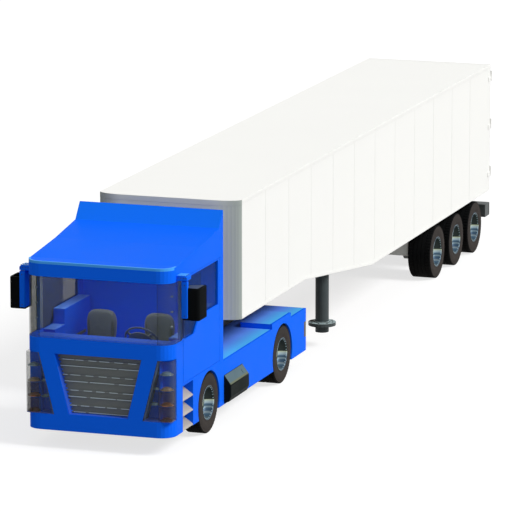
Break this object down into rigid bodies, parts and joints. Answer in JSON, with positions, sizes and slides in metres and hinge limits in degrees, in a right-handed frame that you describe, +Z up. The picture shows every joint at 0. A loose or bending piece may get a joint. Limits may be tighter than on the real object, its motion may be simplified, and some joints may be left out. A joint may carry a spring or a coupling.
{
  "type": "articulated lorry with box semi-trailer",
  "caption": "Forward-control tractor unit with a fairing-topped blue cab, towing a white box semi-trailer with a stepped underside; steers, bends at its pivot, and its doors open.",
  "frame": {"origin": "on the ground, under the middle of the overall length and width", "axes": "+X to the vehicle's left, -Y forward, +Z up"},
  "size_m": [3.24, 18.7, 3.577],
  "materials": {
    "cab_paint": "satin",
    "cabin_trim": "matte",
    "glass": "clear",
    "grille": "matte",
    "lens": "clear",
    "steps": "satin",
    "seat": "matte",
    "black": "satin",
    "tyre": "matte",
    "chassis": "satin",
    "iron": "matte",
    "tank": "satin",
    "trailer_paint": "satin",
    "trailer_grey": "satin"
  },
  "bodies": {
    "tractor": {"cab_front_panel": "cab_paint", "cab_side_left": "cab_paint", "cab_side_right": "cab_paint", "cab_roof": "cab_paint", "cab_rear_wall": "cab_paint", "deck_panel": "cab_paint", "side_fairing_left": "cab_paint", "side_fairing_right": "cab_paint", "cab_floor": "cabin_trim", "dashboard": "cabin_trim", "windscreen": "glass", "grille": "grille", "lamp_left": "lens", "lamp_right": "lens", "tail_lamp_left": "lens", "tail_lamp_right": "lens", "entry_steps_left": "steps", "entry_steps_right": "steps", "driver_seat": "seat", "passenger_seat": "seat", "mirror_left": "black", "mirror_right": "black", "chassis_frame": "chassis", "engine_block": "iron", "front_axle": "iron", "rear_axle": "iron", "fifth_wheel": "iron", "fuel_tank_left": "tank", "fuel_tank_right": "tank"},
    "trailer": {"trailer_front_wall": "trailer_grey", "trailer_side_left": "trailer_paint", "trailer_side_right": "trailer_paint", "trailer_roof": "trailer_paint", "trailer_floor": "trailer_grey", "trailer_rear_frame": "trailer_paint", "trailer_coupler": "chassis", "landing_gear": "chassis", "bogie_frame": "trailer_grey", "rear_bumper": "trailer_grey"},
    "steering": {"steering_wheel": "black"},
    "cab_door_left": {"cab_door_left": "cab_paint", "door_glass_left": "glass"},
    "knuckle_left": {"knuckle_left": "iron"},
    "front_wheel_left": {"front_wheel_left": "tyre"},
    "rear_twin_wheel_left": {"rear_twin_wheel_left": "tyre"},
    "trailer_door_left": {"trailer_door_left": "trailer_paint"},
    "trailer_wheel_1_left": {"trailer_wheel_1_left": "tyre"},
    "trailer_wheel_2_left": {"trailer_wheel_2_left": "tyre"},
    "trailer_wheel_3_left": {"trailer_wheel_3_left": "tyre"},
    "cab_door_right": {"cab_door_right": "cab_paint", "door_glass_right": "glass"},
    "knuckle_right": {"knuckle_right": "iron"},
    "front_wheel_right": {"front_wheel_right": "tyre"},
    "rear_twin_wheel_right": {"rear_twin_wheel_right": "tyre"},
    "trailer_door_right": {"trailer_door_right": "trailer_paint"},
    "trailer_wheel_1_right": {"trailer_wheel_1_right": "tyre"},
    "trailer_wheel_2_right": {"trailer_wheel_2_right": "tyre"},
    "trailer_wheel_3_right": {"trailer_wheel_3_right": "tyre"}
  },
  "joints": [
    {"name": "trailer_yaw", "type": "hinge", "parent": "tractor", "child": "trailer", "pos_m": [0, -4.1, 1.25], "axis": [0, 0, 1], "range_deg": [-90, 90]},
    {"name": "steer_left", "type": "hinge", "parent": "tractor", "child": "knuckle_left", "pos_m": [0.96, -7.53, 0.504], "axis": [0, 0, 1], "range_deg": [-35, 35]},
    {"name": "front_wheel_left_spin", "type": "hinge", "parent": "knuckle_left", "child": "front_wheel_left", "pos_m": [1.09, -7.53, 0.504], "axis": [1, 0, 0], "continuous": true},
    {"name": "rear_twin_wheel_left_spin", "type": "hinge", "parent": "tractor", "child": "rear_twin_wheel_left", "pos_m": [0.98, -3.7, 0.504], "axis": [1, 0, 0], "continuous": true},
    {"name": "cab_door_left_hinge", "type": "hinge", "parent": "tractor", "child": "cab_door_left", "pos_m": [1.25, -8.776, 1.5], "axis": [0, 0, -1], "range_deg": [0, 70]},
    {"name": "trailer_door_left_hinge", "type": "hinge", "parent": "trailer", "child": "trailer_door_left", "pos_m": [1.268, 9.342, 2.3], "axis": [0, 0, -1], "range_deg": [0, 270]},
    {"name": "trailer_wheel_1_left_spin", "type": "hinge", "parent": "trailer", "child": "trailer_wheel_1_left", "pos_m": [1.02, 5.74, 0.504], "axis": [1, 0, 0], "continuous": true},
    {"name": "trailer_wheel_2_left_spin", "type": "hinge", "parent": "trailer", "child": "trailer_wheel_2_left", "pos_m": [1.02, 7.03, 0.504], "axis": [1, 0, 0], "continuous": true},
    {"name": "trailer_wheel_3_left_spin", "type": "hinge", "parent": "trailer", "child": "trailer_wheel_3_left", "pos_m": [1.02, 8.32, 0.504], "axis": [1, 0, 0], "continuous": true},
    {"name": "steer_right", "type": "hinge", "parent": "tractor", "child": "knuckle_right", "pos_m": [-0.96, -7.53, 0.504], "axis": [0, 0, 1], "range_deg": [-35, 35]},
    {"name": "front_wheel_right_spin", "type": "hinge", "parent": "knuckle_right", "child": "front_wheel_right", "pos_m": [-1.09, -7.53, 0.504], "axis": [1, 0, 0], "continuous": true},
    {"name": "rear_twin_wheel_right_spin", "type": "hinge", "parent": "tractor", "child": "rear_twin_wheel_right", "pos_m": [-0.98, -3.7, 0.504], "axis": [1, 0, 0], "continuous": true},
    {"name": "cab_door_right_hinge", "type": "hinge", "parent": "tractor", "child": "cab_door_right", "pos_m": [-1.25, -8.776, 1.5], "axis": [0, 0, 1], "range_deg": [0, 70]},
    {"name": "trailer_door_right_hinge", "type": "hinge", "parent": "trailer", "child": "trailer_door_right", "pos_m": [-1.268, 9.342, 2.3], "axis": [0, 0, 1], "range_deg": [0, 270]},
    {"name": "trailer_wheel_1_right_spin", "type": "hinge", "parent": "trailer", "child": "trailer_wheel_1_right", "pos_m": [-1.02, 5.74, 0.504], "axis": [1, 0, 0], "continuous": true},
    {"name": "trailer_wheel_2_right_spin", "type": "hinge", "parent": "trailer", "child": "trailer_wheel_2_right", "pos_m": [-1.02, 7.03, 0.504], "axis": [1, 0, 0], "continuous": true},
    {"name": "trailer_wheel_3_right_spin", "type": "hinge", "parent": "trailer", "child": "trailer_wheel_3_right", "pos_m": [-1.02, 8.32, 0.504], "axis": [1, 0, 0], "continuous": true},
    {"name": "steering_turn", "type": "hinge", "parent": "tractor", "child": "steering", "pos_m": [0.5, -8.65, 1.74], "axis": [0, 0.8192, 0.5736], "range_deg": [-630, 630]}
  ],
  "couplings": [
    {"joint": "steer_right", "follows": "steer_left", "ratio": 1},
    {"joint": "steering_turn", "follows": "steer_left", "ratio": 18}
  ]
}
